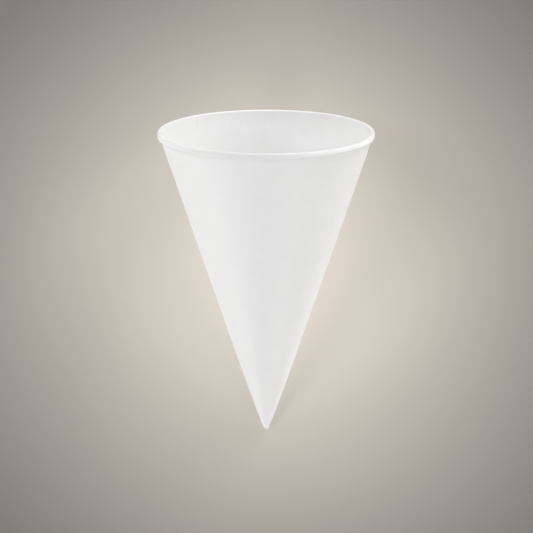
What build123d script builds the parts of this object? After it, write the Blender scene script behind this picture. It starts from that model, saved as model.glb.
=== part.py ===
from build123d import *
import os
from math import asin, atan2, ceil, cos, degrees, radians, sin, sqrt, tan

# Cone paper cup: one sheet of white paper wound one and a half times into a pointed cone.
# The sheet lies double for half a turn, its mouth edge is curled outwards into a flattened
# bead, and its point is wound shut. The cup lies on its side, as it comes to rest on a table,
# with the double half of the wall underneath: that half is heavier, so the cup rolls onto it.
# Where it touches the table, the soft bead is pressed in a little and the point to a small
# flat. The pressed spot of the bead arches up between its ends, and those bear the cup.

# Driving dimensions, in millimetres and degrees
rim_diameter = 72.0         # across the outside of the rolled rim
half_angle = 18.5           # between the cone's axis and its wall
paper = 0.15                # thickness of one layer of the sheet
lap_angle = 180.0           # part of the turn where the sheet lies double
joggle_angle = 4.0          # part of the turn in which the sheet climbs over its own inner end

draw_in_length = 6.0        # stretch of wall under the bead that the curling pulls in
draw_in_angle = 5.0         # how much steeper than the cone that stretch ends
top_bend_core = 0.20        # free radius inside the bead's upper bend, under both layers
bottom_bend_core = 0.12     # free radius inside the bead's lower bend, under both layers
flank_height = 1.40         # height between the two bends, up the bead's outer side
curl_end = 144.0            # how far the lower bend turns the sheet, in under the bead
bend_step = 24.0            # turn from one flat of a bend to the next, where the bead shows
hidden_step = 48.0          # the same inside the bead

tip_radius = 1.50           # rounding of the closed point
tip_plug = 0.90             # solid paper between the point and the bottom of the inside
outer_layer_start = 1.60    # height above the point at which the outer layer ends

table_flat = 5.0            # width of the spot on the bead that the lying cup presses in
table_hollow = 0.10         # how far that spot arches clear of the table between its ends

# The wall's section, as (radius, height) with the apex of its inner face at the origin.
# The inner face of the wall becomes the outside of the curl. "Out" points through the
# paper, away from the cup's axis on the wall and towards the bead's hollow in the curl.
cone_slope = radians(half_angle)
cone_out = Vector(cos(cone_slope), -sin(cone_slope))
neck_slope = radians(half_angle - draw_in_angle)
neck_up = Vector(sin(neck_slope), cos(neck_slope))
neck_out = Vector(cos(neck_slope), -sin(neck_slope))

# Radii of the inner face along the draw-in and round the curl
draw_in_radius = draw_in_length / radians(draw_in_angle)
top_bend = top_bend_core + 2 * paper
bottom_bend = bottom_bend_core + 2 * paper

# Places across the radius, from the outside of the rim inwards
top_centre_r = rim_diameter / 2 - top_bend
neck_end_r = top_centre_r - top_bend * neck_out.X
draw_in_start_r = neck_end_r + draw_in_radius * (cone_out.X - neck_out.X)

# Points of the inner face and centres of its bends, from the wall up and over the curl
draw_in_start = Vector(draw_in_start_r, draw_in_start_r / tan(cone_slope))
draw_in_centre = draw_in_start - cone_out * draw_in_radius
neck_end = draw_in_centre + neck_out * draw_in_radius
top_centre = neck_end + neck_out * top_bend
bottom_centre = top_centre + Vector(top_bend - bottom_bend, -flank_height)

# A ball of radius r that touches a cone has its centre r / sin(slope) above the apex
ball_depth = 1 / sin(cone_slope) - 1
layer_apex = -paper / sin(cone_slope)
tip_height = layer_apex + tip_radius * ball_depth
inside_height = tip_height + tip_plug
inside_radius = inside_height / ball_depth
sheet_start = tip_height + outer_layer_start


def wall_point(height, depth):
    """The point of the straight wall at a height, a depth of paper outside its inner face."""
    return Vector(height * tan(cone_slope) + depth / cos(cone_slope), height)


def bend(centre, radius, start, sweep, step):
    """The points of a bend, which turns in flats from one angle through a sweep to another."""
    flats = ceil(abs(sweep) / step)
    angles = [radians(start + sweep * flat / flats) for flat in range(flats + 1)]
    return [centre + Vector(cos(angle), sin(angle)) * radius for angle in angles]


def sheet_face(depth, step):
    """The points of one face of the sheet, from the point to the end of the curl."""
    neck_turn = 180 - degrees(neck_slope)
    draw_in = bend(draw_in_centre, draw_in_radius + depth, -half_angle, draw_in_angle, step)
    top = bend(top_centre, top_bend - depth, neck_turn, -neck_turn, step)
    bottom = bend(bottom_centre, bottom_bend - depth, 0, -curl_end, step)
    return [wall_point(sheet_start, depth), *draw_in, *top[1:], *bottom]


def section(inner_depth, outer_depth):
    """The sheet's section between two depths of paper, standing on the XZ plane."""
    inner = sheet_face(inner_depth, bend_step)
    outer = sheet_face(outer_depth, hidden_step)
    return Plane.XZ * make_face(Polyline(inner + outer[::-1], close=True))


def turned(shape, angle):
    """A shape turned about the cup's axis."""
    return Rot(0, 0, angle) * shape


def double_wall():
    """The lap, where the sheet's outer layer lies glued on its inner one."""
    return revolve(section(0, 2 * paper), Axis.Z, lap_angle)


def single_wall():
    """The rest of the turn but for the joggle, one layer thick."""
    arc = 360 - lap_angle - joggle_angle
    return revolve(turned(section(0, paper), lap_angle), Axis.Z, arc)


def joggle():
    """The strip where the sheet rises by its own thickness, over its inner end."""
    low = turned(section(0, paper), -joggle_angle)
    high = section(paper, 2 * paper)
    return loft([low, high], ruled=True)


def wound_point():
    """The blunt point, where the layers are wound into solid paper round the cup's bottom.

    The seam of its round faces lies in the single wall, clear of both ends of the sheet.
    """
    tip = Vector(0, tip_height)
    inside = Vector(0, inside_height)
    outer_centre = Vector(0, tip_height + tip_radius)
    outer_touch = outer_centre + cone_out * tip_radius
    inner_centre = Vector(0, inside_height + inside_radius)
    inner_touch = inner_centre + cone_out * inside_radius
    shoulder = inner_touch + cone_out * paper
    arc = 90 - half_angle
    outline = [
        CenterArc(outer_centre, tip_radius, -90, arc),
        Line(outer_touch, shoulder),
        Line(shoulder, inner_touch),
        CenterArc(inner_centre, inside_radius, -half_angle, -arc),
        Line(inside, tip),
    ]
    middle_of_single_wall = 180 + lap_angle / 2
    return turned(revolve(Plane.XZ * make_face(outline), Axis.Z), middle_of_single_wall)


def resting_angle():
    """The angle between the cup's axis and a table that it lies on, in radians.

    The bead touches the table with its lower bend, and the pointed end with its rounding or
    with the edge of the outer layer, whichever stands out further.
    """
    edge = wall_point(sheet_start, 2 * paper)
    angles = []
    for centre, radius in [(edge, 0), (Vector(0, tip_height + tip_radius), tip_radius)]:
        reach = bottom_centre - centre
        angles.append(atan2(reach.X, reach.Y) - asin((radius - bottom_bend) / reach.length))
    return min(angles)


def lying(cup):
    """The cup on its side, mouth towards +Y, over the origin and resting on the XY plane."""
    middle_of_lap_down = turned(cup, 90 - lap_angle / 2)
    laid = Rot(degrees(resting_angle()) - 90, 0, 0) * middle_of_lap_down
    rim_radius = rim_diameter / 2
    rim_sink = rim_radius - sqrt(rim_radius**2 - (table_flat / 2)**2)
    box = laid.bounding_box()
    table = box.min.Z + rim_sink * cos(resting_angle())
    placed = Pos(-box.center().X, -box.center().Y, -table) * laid
    under_the_mouth_half = (Align.CENTER, Align.MIN, Align.CENTER)
    hollow = Box(table_flat, box.size.Y, 2 * table_hollow, align=under_the_mouth_half)
    return split(placed, Plane.XY, keep=Keep.TOP) - hollow


cup = lying(double_wall() + single_wall() + joggle() + wound_point())

os.makedirs("parts", exist_ok=True)
export_step(cup, "parts/paper_cone.step")
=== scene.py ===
"""Looks of a cone paper cup: one sheet of white paper wound into a pointed cone, lying on its side.

The wall, the paper, the lap and the length are those of the solid model. The bead, the neck
under it and the point are drawn a few tenths of a millimetre nearer to the photographed cup.
The solid itself stays hidden and stands for weight and contact, and the wound sheet and its
twisted point replace it here.
"""

import logging
from dataclasses import dataclass, field
from math import asin, atan2, cos, hypot, pi, radians, sin, sqrt, tan

import bpy
import numpy as np
from mathutils import Matrix, Vector

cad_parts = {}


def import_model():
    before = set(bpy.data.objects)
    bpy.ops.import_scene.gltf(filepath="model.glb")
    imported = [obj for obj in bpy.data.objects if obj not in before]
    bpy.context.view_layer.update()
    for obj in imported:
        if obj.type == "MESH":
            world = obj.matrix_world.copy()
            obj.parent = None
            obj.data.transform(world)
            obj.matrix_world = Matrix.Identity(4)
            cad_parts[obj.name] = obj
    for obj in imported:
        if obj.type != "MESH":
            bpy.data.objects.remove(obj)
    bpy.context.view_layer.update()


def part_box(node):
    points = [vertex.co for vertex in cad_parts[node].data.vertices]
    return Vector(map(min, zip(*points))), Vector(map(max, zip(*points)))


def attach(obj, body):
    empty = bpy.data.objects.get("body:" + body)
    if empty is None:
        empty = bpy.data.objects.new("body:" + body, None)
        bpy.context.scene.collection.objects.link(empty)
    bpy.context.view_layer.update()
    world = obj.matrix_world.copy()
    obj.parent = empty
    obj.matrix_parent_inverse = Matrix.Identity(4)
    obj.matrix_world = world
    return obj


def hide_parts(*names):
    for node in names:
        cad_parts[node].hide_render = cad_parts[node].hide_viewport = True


MM = 0.001
PIXELS = 533
SENSOR_MM = 36.0
# The sockets of a Mix node that carry its two colours and their mix
FIRST_COLOUR, SECOND_COLOUR, MIXED_COLOUR = 6, 7, 2

log = logging.getLogger("cone_cup")


def linear(hex_colour: str) -> tuple[float, float, float, float]:
    """Turns an sRGB colour into the linear one that shaders take.

    Args:
        hex_colour: Six hex digits, with or without a leading mark.

    Returns:
        Red, green, blue and an alpha of one.
    """
    digits = hex_colour.lstrip("#")
    channels = np.array([int(digits[i : i + 2], 16) for i in (0, 2, 4)]) / 255
    low = channels / 12.92
    high = ((channels + 0.055) / 1.055) ** 2.4
    red, green, blue = np.where(channels <= 0.04045, low, high)
    return float(red), float(green), float(blue), 1.0


def smooth_step(share: np.ndarray) -> np.ndarray:
    """Eases from nought to one: three times the square of the share less twice its cube."""
    held = np.clip(share, 0, 1)
    return held * held * (3 - 2 * held)


def add_node(
    tree: bpy.types.NodeTree,
    kind: str,
    settings: dict[str | int, object] | None = None,
    links: dict[str | int, bpy.types.NodeSocket] | None = None,
    **properties: object,
) -> bpy.types.Node:
    """Adds a node to a tree.

    Args:
        tree: The tree that takes the node.
        kind: The node's type.
        settings: Values for its input sockets, by socket name or index.
        links: Output sockets to join to its inputs, by input name or index.
        **properties: Values for the node's own properties.

    Returns:
        The new node.
    """
    node = tree.nodes.new(kind)
    for name, value in properties.items():
        setattr(node, name, value)
    for name, value in (settings or {}).items():
        node.inputs[name].default_value = value
    for name, socket in (links or {}).items():
        tree.links.new(socket, node.inputs[name])
    return node


@dataclass(frozen=True)
class ConeForm:
    """The sizes that the cup's pieces share, in millimetres and degrees.

    A section of the cup has a radius and a height, with the apex of the wall's inner face at
    nought. A depth is measured through the paper from that face: away from the cup's axis on
    the wall, and towards the bead's hollow in the curl. The bead's outer side is bowed between
    its two bends, and the twist of the point pinches the wall above it.
    """

    rim_diameter: float = 71.8
    half_angle: float = 18.5
    paper: float = 0.15
    lap_angle: float = 180.0
    joggle_angle: float = 4.0
    draw_in_length: float = 6.0
    draw_in_angle: float = 12.0
    top_bend: float = 0.62
    bottom_bend: float = 0.52
    flank_height: float = 1.02
    flank_bow: float = 15.0
    curl_end: float = 160.0
    tip_radius: float = 1.50
    tip_plug: float = 0.90
    outer_layer_start: float = 1.60
    pinch: float = 0.38
    pinch_length: float = 24.0
    table_flat: float = 5.0

    @property
    def slope(self) -> float:
        """The wall's angle from the axis, in radians."""
        return radians(self.half_angle)

    @property
    def neck_slope(self) -> float:
        """The angle at the top of the draw-in, under the bead, in radians."""
        return radians(self.half_angle - self.draw_in_angle)

    @property
    def draw_in_radius(self) -> float:
        """The radius of the arc by which the wall is drawn in."""
        return self.draw_in_length / radians(self.draw_in_angle)

    @property
    def flank_radius(self) -> float:
        """The radius of the bead's bowed outer side."""
        chord = self.flank_height / sin(radians(self.flank_bow))
        return (chord + self.top_bend + self.bottom_bend) / 2

    @property
    def flank_centre(self) -> np.ndarray:
        """The centre of the bead's outer side, back from the top bend's along the bow's angle.

        Returns:
            Radius and height, in millimetres.
        """
        bow = radians(self.flank_bow)
        back = np.array([cos(bow), sin(bow)]) * (self.flank_radius - self.top_bend)
        return self.top_centre - back

    @property
    def top_centre(self) -> np.ndarray:
        """The centre of the bend over the top of the bead.

        Across, it stands in from the rim by what the bowed side and the bend take. The bend
        ends on the neck, the neck's arc ends on the straight wall, and the wall's height is its
        radius over the slope's tangent: from there the two arcs' heights lead up to the centre.

        Returns:
            Radius and height, in millimetres.
        """
        bow = radians(self.flank_bow)
        reach = self.flank_radius - self.top_bend
        across = self.rim_diameter / 2 - self.flank_radius + reach * cos(bow)
        neck_end = across - self.top_bend * cos(self.neck_slope)
        start = neck_end + self.draw_in_radius * (cos(self.slope) - cos(self.neck_slope))
        height = start / tan(self.slope) + self.draw_in_radius * (sin(self.slope) - sin(self.neck_slope))
        return np.array([across, height - self.top_bend * sin(self.neck_slope)])

    @property
    def bottom_centre(self) -> np.ndarray:
        """The centre of the bend under the bead, out from the side's centre below the bow.

        Returns:
            Radius and height, in millimetres.
        """
        bow = radians(self.flank_bow)
        reach = self.flank_radius - self.bottom_bend
        return self.flank_centre + np.array([cos(bow), -sin(bow)]) * reach

    @property
    def draw_in_centre(self) -> np.ndarray:
        """The centre of the draw-in's arc."""
        out = np.array([cos(self.neck_slope), -sin(self.neck_slope)])
        return self.top_centre - out * (self.top_bend + self.draw_in_radius)

    @property
    def tip_height(self) -> float:
        """The height of the point above the apex of the inner face."""
        return (-self.paper + self.tip_radius * (1 - sin(self.slope))) / sin(self.slope)

    @property
    def inside_height(self) -> float:
        """The height of the bottom of the inside."""
        return self.tip_height + self.tip_plug

    @property
    def inside_radius(self) -> float:
        """The rounding of the bottom of the inside."""
        return self.inside_height / (1 / sin(self.slope) - 1)

    @property
    def sheet_start(self) -> float:
        """The height at which the sheet leaves the wound point."""
        return self.tip_height + self.outer_layer_start

    def wall_point(self, height: float, depth: float) -> np.ndarray:
        """The point of the straight wall at a height and a depth."""
        return np.array([height * tan(self.slope) + depth / cos(self.slope), height])

    def pinched(self, height: np.ndarray) -> np.ndarray:
        """How far the twist draws the wall in: by the square of what is left of the pinch."""
        left = np.clip(1 - (height - self.sheet_start) / self.pinch_length, 0, 1)
        return self.pinch * left * left


@dataclass(frozen=True)
class Lying:
    """Where the cup lies: on its side, mouth towards +Y, lap down, flat on the table."""

    form: ConeForm

    @property
    def tilt(self) -> float:
        """The angle between the cup's axis and the table.

        The table touches the bead's lower bend and, at the pointed end, the point's ball or the
        edge of the outer layer, whichever bears. It leaves the line between the two centres by
        the angle whose sine is the difference of their radii over their distance.

        Returns:
            The angle in radians.
        """
        form = self.form
        edge = form.wall_point(form.sheet_start, 2 * form.paper)
        nose = np.array([0, form.tip_height + form.tip_radius])
        angles = []
        for centre, radius in ((edge, 0.0), (nose, form.tip_radius)):
            reach = form.bottom_centre - centre
            angles.append(atan2(*reach) - asin((radius - form.bottom_bend) / hypot(*reach)))
        return min(angles)

    @property
    def axis(self) -> Vector:
        """The direction of the cup's axis, from the point to the mouth."""
        return Vector((0, cos(self.tilt), sin(self.tilt)))

    @property
    def apex(self) -> Vector:
        """The place of the inner face's apex.

        Its height is what puts the lower bend on the table, less what the pressed spot sinks
        in. Along the table it lies so that the point's ball touches the end of the solid's box.

        Returns:
            The place in metres.
        """
        form = self.form
        rim = form.rim_diameter / 2
        sink = (rim - sqrt(rim**2 - (form.table_flat / 2) ** 2)) * cos(self.tilt)
        centre = form.bottom_centre
        height = form.bottom_bend + centre[0] * cos(self.tilt) - centre[1] * sin(self.tilt) - sink
        low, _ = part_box("paper_cone")
        nose = form.tip_height + form.tip_radius
        along = form.tip_radius - nose * cos(self.tilt)
        return Vector((0, low.y + along * MM, height * MM))

    def place(self, radius: np.ndarray, height: np.ndarray, turn: np.ndarray) -> np.ndarray:
        """Places points of the cup's sections in the room.

        The azimuth is turned a quarter so that the lap's middle is down. Across is the
        radius times the azimuth's cosine. The rest is laid over by the tilt about X.

        Args:
            radius: Distances from the axis, in millimetres.
            height: Heights above the inner apex, in millimetres.
            turn: Azimuths from the sheet's inner end, in radians.

        Returns:
            The places in metres, with X, Y and Z last.
        """
        middle = radians(self.form.lap_angle) / 2
        azimuth = turn + pi / 2 - middle
        across = radius * np.cos(azimuth)
        down = radius * np.sin(azimuth)
        along = down * sin(self.tilt) + height * cos(self.tilt)
        up = -down * cos(self.tilt) + height * sin(self.tilt)
        return np.stack([across, along, up], axis=-1) * MM + np.array(self.apex)

    def on_axis(self, height: float) -> Vector:
        """The point of the cup's axis at a height above the inner apex."""
        return self.apex + self.axis * (height * MM)


def mesh_piece(
    name: str,
    points: np.ndarray,
    faces: list[list[int]],
    flat: np.ndarray | None = None,
    sharp: float | None = None,
) -> bpy.types.Object:
    """Puts a surface into a mesh object at the origin.

    Args:
        name: The piece's name.
        points: The places, one row each.
        faces: The corners of each face.
        flat: The place of each point on the flat blank, one row each.
        sharp: The angle in degrees past which an edge stays sharp.

    Returns:
        The new object, linked to the scene.
    """
    mesh = bpy.data.meshes.new(name)
    mesh.from_pydata(points.tolist(), [], faces)
    if flat is not None:
        layer = mesh.uv_layers.new(name="blank")
        corner = np.zeros(len(mesh.loops), dtype=np.int32)
        mesh.loops.foreach_get("vertex_index", corner)
        layer.data.foreach_set("uv", flat[corner].astype(np.float32).ravel())
    mesh.polygons.foreach_set("use_smooth", np.ones(len(faces), dtype=bool))
    mesh.validate()
    if sharp is not None:
        mesh.set_sharp_from_angle(angle=radians(sharp))
    mesh.update()
    piece = bpy.data.objects.new(name, mesh)
    bpy.context.scene.collection.objects.link(piece)
    return piece


@dataclass(frozen=True)
class CupPaper:
    """Bleached uncoated cup paper, calendered smooth.

    Long fibres pressed flat give a dull white with a faint cloud in it, a very fine grain
    and a soft broad sheen where light grazes it. Thin as it is, it lets a little light by.
    """

    colour: str = "#f4f4f4"
    cloud_colour: str = "#f2f2f2"
    roughness: float = 0.60
    refraction: float = 1.45
    sheen: float = 0.10
    sheen_roughness: float = 0.5
    through: float = 0.20
    through_mm: float = 0.25
    # Each noise's size in millimetres and the number of its finer layers
    cloud: tuple[float, float] = (6.0, 2.0)
    fibre: tuple[float, float] = (0.60, 4.0)
    grain: tuple[float, float] = (0.25, 2.0)
    pleat: tuple[float, float] = (1.4, 1.0)
    noise_roughness: float = 0.55
    cloud_from: float = 0.55
    cloud_full: float = 0.95
    fibre_stretch: float = 3.0
    fibre_share: float = 0.5
    grain_share: float = 0.6
    bump_mm: float = 0.006
    bump_strength: float = 0.5
    pleat_stretch: float = 0.12
    pleat_depth_mm: float = 0.04
    pleats_from_mm: float = 102.5
    pleats_full_mm: float = 107.0

    def noise(self, kind: tuple[float, float]) -> dict[str, float]:
        """The settings of a noise, whose scale is one over its real size."""
        size_mm, layers = kind
        return {"Scale": 1 / (size_mm * MM), "Detail": layers, "Roughness": self.noise_roughness}

    def curling_pleats(
        self, tree: bpy.types.NodeTree, blank: bpy.types.NodeSocket
    ) -> bpy.types.NodeSocket:
        """Adds the fine pleats that curling the mouth edge presses in, near the bead.

        On the fan of the blank a place has a slant, its distance from the fan's centre, and
        an arc, its angle times the slant at which the pleats are full. The pleats are a noise
        drawn out along the slant, and grow from nothing on the wall to full at the bead.

        Args:
            tree: The material's nodes.
            blank: The place on the flat blank.

        Returns:
            The bumped normal.
        """
        slant = add_node(
            tree, "ShaderNodeVectorMath", links={0: blank}, operation="LENGTH"
        ).outputs["Value"]
        part = add_node(tree, "ShaderNodeSeparateXYZ", links={"Vector": blank}).outputs
        angle = add_node(
            tree, "ShaderNodeMath", links={0: part["Y"], 1: part["X"]}, operation="ARCTAN2"
        ).outputs["Value"]
        arc = add_node(
            tree, "ShaderNodeMath", {1: self.pleats_full_mm * MM}, {0: angle}, operation="MULTIPLY"
        ).outputs["Value"]
        along = add_node(
            tree, "ShaderNodeMath", {1: self.pleat_stretch}, {0: slant}, operation="MULTIPLY"
        ).outputs["Value"]
        place = add_node(tree, "ShaderNodeCombineXYZ", links={"X": arc, "Y": along}).outputs["Vector"]
        pleats = add_node(
            tree, "ShaderNodeTexNoise", self.noise(self.pleat), {"Vector": place}
        ).outputs["Fac"]
        limits = {
            "From Min": self.pleats_from_mm * MM,
            "From Max": self.pleats_full_mm * MM,
            "To Max": self.pleat_depth_mm * MM,
        }
        depth = add_node(tree, "ShaderNodeMapRange", limits, {"Value": slant}).outputs["Result"]
        height = add_node(
            tree, "ShaderNodeMath", links={0: pleats, 1: depth}, operation="MULTIPLY"
        ).outputs["Value"]
        bump = add_node(tree, "ShaderNodeBump", {"Distance": 1.0}, {"Height": height})
        return bump.outputs["Normal"]

    def material(self) -> bpy.types.Material:
        """Makes the material, whose patterns lie on the flat blank and are wound with it.

        Returns:
            The new material.
        """
        made = bpy.data.materials.new("bleached_uncoated_cup_paper")
        made.use_nodes = True
        tree = made.node_tree
        tree.nodes.clear()
        blank = add_node(tree, "ShaderNodeUVMap", uv_map="blank").outputs["UV"]
        # Fibres lie the way that the paper ran on its machine, drawn wider than real ones
        stretch = {"Scale": (1 / self.fibre_stretch, 1.0, 1.0)}
        along = add_node(tree, "ShaderNodeMapping", stretch, {"Vector": blank}).outputs["Vector"]
        cloud, fibre, grain = (
            add_node(tree, "ShaderNodeTexNoise", self.noise(kind), {"Vector": place}).outputs["Fac"]
            for kind, place in ((self.cloud, blank), (self.fibre, along), (self.grain, blank))
        )
        mottle = add_node(
            tree,
            "ShaderNodeMath",
            {1: self.fibre_share},
            {0: fibre, 2: cloud},
            operation="MULTIPLY_ADD",
        ).outputs["Value"]
        limits = {"From Min": self.cloud_from, "From Max": self.cloud_full}
        share = add_node(tree, "ShaderNodeMapRange", limits, {"Value": mottle}).outputs["Result"]
        colours = {FIRST_COLOUR: linear(self.colour), SECOND_COLOUR: linear(self.cloud_colour)}
        mix = add_node(tree, "ShaderNodeMix", colours, {"Factor": share}, data_type="RGBA")
        relief = add_node(
            tree,
            "ShaderNodeMath",
            {1: self.grain_share},
            {0: grain, 2: fibre},
            operation="MULTIPLY_ADD",
        ).outputs["Value"]
        bump = add_node(
            tree,
            "ShaderNodeBump",
            {"Strength": self.bump_strength, "Distance": self.bump_mm * MM},
            {"Height": relief, "Normal": self.curling_pleats(tree, blank)},
        ).outputs["Normal"]
        surface = add_node(
            tree,
            "ShaderNodeBsdfPrincipled",
            {
                "Roughness": self.roughness,
                "IOR": self.refraction,
                "Sheen Weight": self.sheen,
                "Sheen Roughness": self.sheen_roughness,
                "Subsurface Weight": self.through,
                "Subsurface Radius": (1.0, 1.0, 1.0),
                "Subsurface Scale": self.through_mm * MM,
            },
            {"Base Color": mix.outputs[MIXED_COLOUR], "Normal": bump},
        )
        add_node(
            tree, "ShaderNodeOutputMaterial", links={"Surface": surface.outputs["BSDF"]}
        )
        return made


@dataclass
class WoundSheet:
    """The sheet of paper: wound one and a half times, rolled over at its mouth edge.

    Along the sheet its two faces follow one section, each at its own depth. Round the cup the
    section's depth rises by one layer in the joggle, where the sheet climbs over its start.
    """

    form: ConeForm
    lying: Lying
    paper: CupPaper
    layer_gap: float = 0.02
    columns: int = 270
    wall_rows: int = 56
    draw_in_rows: int = 9
    top_rows: int = 18
    flank_rows: int = 5
    bottom_rows: int = 14
    sharp: float = 50.0
    wander: float = 0.05
    wander_height: float = 100.0
    # Each wave's number to the turn, strength, phase and drift up the wall
    waves: tuple[tuple[int, float, float, float], ...] = (
        (2, 1.0, 1.1, 1.5),
        (3, 0.6, -0.7, -2.0),
        (5, 0.35, 2.3, 4.0),
    )

    def arc(
        self, centre: np.ndarray, radius: float, start: float, end: float, rows: int, side: int
    ) -> tuple[np.ndarray, np.ndarray]:
        """Works out an arc of the section: its centre plus the radius along each angle.

        Args:
            centre: The arc's centre.
            radius: The radius of the inner face.
            start: The first angle in radians.
            end: The last angle, which is left to what follows.
            rows: How many points it has.
            side: Which way the paper's depth goes: 1 from the centre, and -1 towards it.

        Returns:
            The points, and the directions through the paper.
        """
        angle = start + (end - start) * np.arange(rows) / rows
        ray = np.stack([np.cos(angle), np.sin(angle)], axis=-1)
        return centre + ray * radius, ray * side

    def section(self) -> tuple[np.ndarray, np.ndarray]:
        """Works out the inner face's section, from the point to the end of the curl.

        Returns:
            Radius and height of its points, and their directions through the paper.
        """
        form = self.form
        bow, turn = radians(form.flank_bow), pi - form.neck_slope
        end = -radians(form.curl_end)
        wall_out = np.array([cos(form.slope), -sin(form.slope)])
        draw_in = self.arc(
            form.draw_in_centre, form.draw_in_radius, -form.slope, -form.neck_slope, self.draw_in_rows, 1
        )
        start = form.wall_point(form.sheet_start, 0)
        share = (np.arange(self.wall_rows) / self.wall_rows)[:, None]
        wall = start + (draw_in[0][0] - start) * share
        parts = [
            (wall, np.tile(wall_out, (self.wall_rows, 1))),
            draw_in,
            self.arc(form.top_centre, form.top_bend, turn, bow, self.top_rows, -1),
            self.arc(form.flank_centre, form.flank_radius, bow, -bow, self.flank_rows, -1),
            self.arc(form.bottom_centre, form.bottom_bend, -bow, end, self.bottom_rows, -1),
            # One point more ends the curl
            self.arc(form.bottom_centre, form.bottom_bend, end, 2 * end, 1, -1),
        ]
        return np.concatenate([p for p, _ in parts]), np.concatenate([n for _, n in parts])

    def depth(self, turn: np.ndarray) -> np.ndarray:
        """Works out the inner face's depth round the cup: one layer's rise over the joggle.

        Args:
            turn: Azimuths from the sheet's inner end, in radians.

        Returns:
            The depths in millimetres.
        """
        begin = 2 * pi - radians(self.form.joggle_angle)
        rise = smooth_step((turn - begin) / radians(self.form.joggle_angle))
        return rise * (self.form.paper + self.layer_gap)

    def unevenness(self, height: np.ndarray, turn: np.ndarray) -> np.ndarray:
        """Works out how far the wall stands off a true cone.

        A few long waves, of two, three and five to the turn, fade towards the wound point.
        They are summed sines of the azimuth, with phases that drift with the height.

        Args:
            height: Heights above the inner apex, in millimetres.
            turn: Azimuths from the sheet's inner end, in radians.

        Returns:
            The distances in millimetres, outwards.
        """
        share = np.clip(height / self.wander_height, 0, 1)
        azimuth = turn % (2 * pi)
        waves = sum(
            strength * np.sin(number * azimuth + phase + drift * share)
            for number, strength, phase, drift in self.waves
        )
        return self.wander * share * waves

    def corners(self, rows: int) -> np.ndarray:
        """Works out the corners of the faces, from a grid of points round the section.

        The grid's rows run along the inner face, round the curl's end and back along the outer
        face to where they began. Two strips close the sheet's side edges.

        Args:
            rows: How many points one face's section has.

        Returns:
            The numbers of four points for each face.
        """
        loop = 2 * rows
        column, row = np.meshgrid(np.arange(self.columns - 1), np.arange(loop), indexing="ij")
        onward = (row + 1) % loop
        around = [column * loop + row, column * loop + onward]
        around += [(column + 1) * loop + onward, (column + 1) * loop + row]
        skin = np.stack(around, axis=-1).reshape(-1, 4)
        step = np.arange(rows - 1)
        first = np.stack([loop - 1 - step, loop - 2 - step, step + 1, step], axis=-1)
        last = (self.columns - 1) * loop + first[:, ::-1]
        return np.concatenate([skin, first, last])

    def blank(self, section: np.ndarray, turn: np.ndarray) -> np.ndarray:
        """Works out where each point of the grid lies on the flat blank.

        The blank is a fan: the slant length from the apex, turned by the azimuth times the
        slope's sine. Both faces of the sheet have the same places.

        Args:
            section: Radius and height of the section's points, in millimetres.
            turn: Azimuths from the sheet's inner end, in radians.

        Returns:
            The places in metres, one row each.
        """
        slant = np.concatenate([[0], np.cumsum(np.hypot(*np.diff(section, axis=0).T))])
        slant = slant + self.form.sheet_start / cos(self.form.slope)
        reach = np.concatenate([slant, slant[::-1]])[None, :] * MM
        fan = turn[:, None] * sin(self.form.slope)
        return np.stack([reach * np.cos(fan), reach * np.sin(fan)], axis=-1).reshape(-1, 2)

    def build(self) -> bpy.types.Object:
        """Builds the sheet.

        Each place of its two faces is the section plus its depth along its direction, turned
        about the axis. What would dip under the table is lifted onto it.

        Returns:
            The dressed piece.
        """
        form = self.form
        section, out = self.section()
        turn = np.linspace(0, 2 * pi + radians(form.lap_angle), self.columns)
        base = self.depth(turn)
        stray = self.unevenness(section[:, 1][None, :], turn[:, None])
        stray = stray - form.pinched(section[:, 1])
        faces = []
        for extra in (0.0, form.paper):
            through = base[:, None] + extra + stray
            radius = section[:, 0] + out[:, 0] * through
            height = section[:, 1] + out[:, 1] * through
            faces.append(self.lying.place(radius, height, turn[:, None]))
        lift = np.maximum(0, -np.minimum(faces[0][..., 2], faces[1][..., 2]))
        for face in faces:
            face[..., 2] += lift
        points = np.concatenate([faces[0], faces[1][:, ::-1]], axis=1).reshape(-1, 3)
        corners = self.corners(len(section)).tolist()
        piece = mesh_piece("wound_sheet", points, corners, self.blank(section, turn), self.sharp)
        piece.data.materials.append(self.paper.material())
        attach(piece, "root")
        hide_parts("paper_cone")
        return piece


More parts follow.
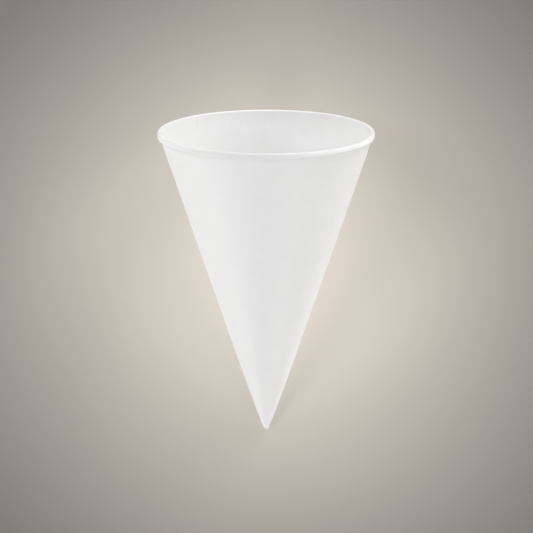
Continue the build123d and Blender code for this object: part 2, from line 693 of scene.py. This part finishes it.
@dataclass
class WoundPoint:
    """The blunt point, where the layers are wound into solid paper.

    It is rounded more tightly than the solid's point and leans a little to one side, as a
    point that is twisted shut does.
    """

    form: ConeForm
    lying: Lying
    material: bpy.types.Material
    columns: int = 96
    ball_rows: int = 14
    cone_rows: int = 10
    radius: float = 1.10
    pleats: int = 5
    pleat_depth: float = 0.05
    pleat_narrowness: int = 3
    pleat_end: float = 0.6
    twist: float = 3.0
    lean: float = 0.35

    def outline(self) -> np.ndarray:
        """Works out the outline: up the outside, over the shoulder and down the inside.

        A ball's arc about its centre, a line up to the shoulder, and a ball's arc inside,
        narrowed by the pinch.

        Returns:
            Radius and height of its points, in millimetres.
        """
        form = self.form
        reach = pi / 2 - form.slope
        share = np.linspace(0, 1, self.ball_rows)[:, None]
        angle = -pi / 2 + reach * share
        ray = np.concatenate([np.cos(angle), np.sin(angle)], axis=1)
        outer = np.array([0, form.tip_height + self.radius]) + ray * self.radius
        inner = np.array([0, form.inside_height + form.inside_radius]) + ray * form.inside_radius
        inner[:, 0] *= 1 - form.pinch / inner[-1, 0]
        top = inner[-1] + np.array([cos(form.slope), -sin(form.slope)]) * form.paper / 2
        climb = outer[-1] + (top - outer[-1]) * np.linspace(0, 1, self.cone_rows + 1)[1:, None]
        return np.concatenate([outer, climb, inner[::-1]])

    def build(self) -> bpy.types.Object:
        """Builds the point as a surface of revolution, with shallow twisted pleats.

        The radius loses a share of the pleat's depth, by a power of half of one plus the cosine
        of the azimuth times the number of pleats, which the twist turns on with the height. The
        pleats fade at the very point and under the sheet. The twist leaves the point to one
        side, by the lean times the square of what is left of the rise.

        Returns:
            The dressed piece.
        """
        form = self.form
        line = self.outline()
        turn = np.arange(self.columns) * 2 * pi / self.columns
        rise = np.clip((line[:, 1] - form.tip_height) / form.outer_layer_start, 0, 1)
        phase = turn[:, None] * self.pleats + self.twist * rise
        under = smooth_step((rise - self.pleat_end) / (1 - self.pleat_end))
        fade = smooth_step(line[:, 0] / self.radius) * (1 - under)
        wave = (0.5 + 0.5 * np.cos(phase)) ** self.pleat_narrowness
        radius = line[:, 0] - self.pleat_depth * fade * wave
        height = np.broadcast_to(line[:, 1], radius.shape)
        points = self.lying.place(radius, height, turn[:, None])
        points[..., 0] += self.lean * (1 - rise) ** 2 * MM
        points[..., 2] = np.maximum(points[..., 2], 0)
        rows = len(line)
        column, row = np.meshgrid(np.arange(self.columns), np.arange(1, rows - 2), indexing="ij")
        onward = (column + 1) % self.columns
        here, there = column * rows + row, onward * rows + row
        quads = np.stack([here, there, there + 1, here + 1], axis=-1).reshape(-1, 4)
        ring = np.arange(self.columns)
        after = (ring + 1) % self.columns
        pole = np.zeros_like(ring)
        caps = [
            np.stack([after * rows + 1, ring * rows + 1, pole], axis=-1),
            np.stack([(ring + 1) * rows - 2, (after + 1) * rows - 2, pole + rows - 1], axis=-1),
        ]
        flat = np.stack([radius * np.cos(turn[:, None]), radius * np.sin(turn[:, None])], axis=-1)
        flat = flat.reshape(-1, 2) * MM
        faces = quads.tolist() + [face for cap in caps for face in cap.tolist()]
        piece = mesh_piece("wound_point", points.reshape(-1, 3), faces, flat)
        piece.data.materials.append(self.material)
        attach(piece, "root")
        return piece


@dataclass(frozen=True)
class BackdropPaper:
    """Warm grey seamless background paper, matt and even.

    Its colour carries a painted pool of light, bright under the cup and darker outwards as a
    lamp's light falls off, and part of its brightness is a painted glow to the camera, so that the cup's
    shadow stays faint.
    """

    # Painted pool of light: the floor's colour goes from near, under the cup, to far
    near: str = "#e6dfd4"
    far: str = "#8e8c86"
    painted_light_pool_mm: float = 94.0
    far_share: float = 0.35
    painted_glow_share: float = 0.5
    # Painted glow that the floor shows to the camera, brighter under the cup
    painted_glow_near: str = "#f8efe3"
    painted_glow_far: str = "#7b7a76"
    roughness: float = 0.9
    gloss: float = 0.2

    def fade(self, tree: bpy.types.NodeTree, spot: Vector) -> bpy.types.NodeSocket:
        """Adds the painted pool of light: one over one plus the square of the distance over the pool's
        length.

        Args:
            tree: The material's nodes.
            spot: The brightest place of the floor.

        Returns:
            A share that is one at the spot and nought far off.
        """
        place = add_node(tree, "ShaderNodeTexCoord").outputs["Object"]
        away = add_node(
            tree, "ShaderNodeVectorMath", {1: tuple(spot)}, {0: place}, operation="DISTANCE"
        ).outputs["Value"]
        step = away
        length = self.painted_light_pool_mm * MM
        for operation, value in (("DIVIDE", length), ("POWER", 2.0), ("ADD", 1.0), ("POWER", -1.0)):
            step = add_node(
                tree, "ShaderNodeMath", {1: value}, {0: step}, operation=operation
            ).outputs["Value"]
        limits = {"From Min": self.far_share, "From Max": 1.0}
        return add_node(tree, "ShaderNodeMapRange", limits, {"Value": step}).outputs["Result"]

    def seen(self, tree: bpy.types.NodeTree) -> bpy.types.NodeSocket:
        """Adds the share of the floor's painted glow, for rays that show the background.

        Args:
            tree: The material's nodes.

        Returns:
            The glow's share for camera, glossy and transmission rays, and nought for others.
        """
        rays = add_node(tree, "ShaderNodeLightPath").outputs
        total = rays["Is Camera Ray"]
        for other in ("Is Glossy Ray", "Is Transmission Ray"):
            total = add_node(
                tree, "ShaderNodeMath", links={0: total, 1: rays[other]}, operation="MAXIMUM"
            ).outputs["Value"]
        return add_node(
            tree, "ShaderNodeMath", {1: self.painted_glow_share}, {0: total}, operation="MULTIPLY"
        ).outputs["Value"]

    def material(self, spot: Vector) -> bpy.types.Material:
        """Makes the material.

        Args:
            spot: The brightest place of the floor.

        Returns:
            The new material.
        """
        made = bpy.data.materials.new("warm_grey_seamless_paper")
        made.use_nodes = True
        tree = made.node_tree
        tree.nodes.clear()
        # Painted pool of light, brightest at the spot under the camera's aim
        share = self.fade(tree, spot)
        lit_colour, painted_glow_colour = (
            add_node(
                tree,
                "ShaderNodeMix",
                {FIRST_COLOUR: linear(far), SECOND_COLOUR: linear(near)},
                {"Factor": share},
                data_type="RGBA",
            ).outputs[MIXED_COLOUR]
            for far, near in ((self.far, self.near), (self.painted_glow_far, self.painted_glow_near))
        )
        surface = add_node(
            tree,
            "ShaderNodeBsdfPrincipled",
            {"Roughness": self.roughness, "Specular IOR Level": self.gloss},
            {"Base Color": lit_colour},
        )
        # Painted glow, which lifts the cup's shadow on the floor
        own = add_node(tree, "ShaderNodeEmission", links={"Color": painted_glow_colour})
        links = {0: self.seen(tree), 1: surface.outputs["BSDF"], 2: own.outputs["Emission"]}
        both = add_node(tree, "ShaderNodeMixShader", links=links)
        add_node(tree, "ShaderNodeOutputMaterial", links={"Surface": both.outputs["Shader"]})
        return made


@dataclass(frozen=True)
class Softbox:
    """A large soft white lamp that faces the cup, with its place and size in metres."""

    name: str
    place: tuple[float, float, float]
    size: tuple[float, float]
    watts: float


@dataclass
class Studio:
    """The floor, the lamps and the camera.

    Distances in the room are in metres, those on the cup in millimetres, and angles in degrees.
    """

    form: ConeForm
    lying: Lying
    distance: float = 0.864
    elevation: float = 11.9
    front: float = -82.0
    aim_depth: float = 45.17
    focal_px: float = 2616.0
    axis_shift_px: float = 0.44
    nearest: float = 0.01
    furthest: float = 50.0
    floor_reach: float = 3.0
    room_colour: str = "#ffffff"
    ambient: float = 0.11
    backdrop: BackdropPaper = field(default_factory=BackdropPaper)
    lamps: tuple[Softbox, ...] = (
        Softbox("right_softbox_at_mouth", (0.547, 0.882, 0.365), (0.45, 0.55), 7.84),
        Softbox("right_strip", (1.039, 0.197, 0.302), (0.45, 0.34), 2.33),
        Softbox("right_strip_at_point", (0.780, -0.698, 0.338), (0.45, 0.34), 5.62),
        Softbox("left_softbox_at_mouth", (-0.887, 0.546, 0.353), (0.45, 0.55), 4.22),
        Softbox("left_strip_at_point", (-0.780, -0.698, 0.338), (0.45, 0.34), 5.29),
        Softbox("left_softbox_above", (-0.593, 0.080, 0.923), (0.45, 0.55), 2.85),
    )

    def view(self) -> tuple[Vector, Vector, Vector]:
        """Works out the camera's frame.

        The camera stands off the middle of the bead, at an elevation above the mouth's plane
        and at an azimuth round the cup, and looks at a point of the axis below it.

        Returns:
            The camera's place, the way it looks and its right.
        """
        form, lying = self.form, self.lying
        rim_height = (form.top_centre[1] + form.bottom_centre[1]) / 2
        rim = lying.on_axis(rim_height)
        middle = radians(form.lap_angle) / 2
        azimuth = radians(self.front) + pi / 2 - middle
        across, down = cos(azimuth), sin(azimuth)
        ray = Vector((across, down * sin(lying.tilt), -down * cos(lying.tilt)))
        raised = radians(self.elevation)
        place = rim + (ray * cos(raised) + lying.axis * sin(raised)) * self.distance
        aim = lying.on_axis(rim_height - self.aim_depth)
        look = (aim - place).normalized()
        right = look.cross(lying.axis).normalized()
        look = (look + right * (self.axis_shift_px / self.focal_px)).normalized()
        return place, look, look.cross(lying.axis).normalized()

    def camera(self) -> bpy.types.Object:
        """Sets up the camera, with its right, its up and its back as the frame's columns.

        Returns:
            The camera.
        """
        place, look, right = self.view()
        data = bpy.data.cameras.new("camera")
        data.sensor_width = SENSOR_MM
        data.lens = self.focal_px / PIXELS * SENSOR_MM
        data.clip_start, data.clip_end = self.nearest, self.furthest
        made = bpy.data.objects.new("camera", data)
        bpy.context.scene.collection.objects.link(made)
        up = right.cross(look)
        turned = Matrix((right, up, -look)).transposed().to_4x4()
        made.matrix_world = Matrix.Translation(place) @ turned
        bpy.context.scene.camera = made
        return made

    def floor(self) -> bpy.types.Object:
        """Lays the floor: one flat square on the plane that the cup lies on.

        Returns:
            The floor, with its painted pool of light brightest where the camera looks at it.
        """
        place, look, _ = self.view()
        spot = place - look * (place.z / look.z)
        reach = self.floor_reach
        corners = np.array([(-1, -1, 0), (1, -1, 0), (1, 1, 0), (-1, 1, 0)]) * reach
        made = mesh_piece("floor", corners, [[0, 1, 2, 3]])
        made.data.materials.append(self.backdrop.material(spot))
        return made

    def light(self) -> None:
        """Hangs the lamps and sets the even light of the room."""
        for lamp in self.lamps:
            data = bpy.data.lights.new(lamp.name, "AREA")
            data.shape = "RECTANGLE"
            data.size, data.size_y = lamp.size
            data.energy = lamp.watts
            made = bpy.data.objects.new(lamp.name, data)
            bpy.context.scene.collection.objects.link(made)
            place = Vector(lamp.place)
            made.location = place
            made.rotation_euler = (-place).to_track_quat("-Z", "Y").to_euler()
        world = bpy.data.worlds.new("studio")
        bpy.context.scene.world = world
        world.use_nodes = True
        shade = world.node_tree.nodes["Background"]
        shade.inputs["Color"].default_value = linear(self.room_colour)
        shade.inputs["Strength"].default_value = self.ambient


def main() -> None:
    """Builds the cup's pieces and the studio, and reports each piece."""
    logging.basicConfig(level=logging.INFO, format="%(name)s: %(message)s")
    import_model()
    form = ConeForm()
    lying = Lying(form)
    sheet = WoundSheet(form, lying, CupPaper()).build()
    log.info("%s: %d faces", sheet.name, len(sheet.data.polygons))
    point = WoundPoint(form, lying, sheet.data.materials[0]).build()
    log.info("%s: %d faces", point.name, len(point.data.polygons))
    studio = Studio(form, lying)
    studio.camera()
    floor = studio.floor()
    log.info("%s laid", floor.name)
    studio.light()
    bpy.context.scene.view_settings.view_transform = "Standard"


if __name__ == "__main__":
    main()
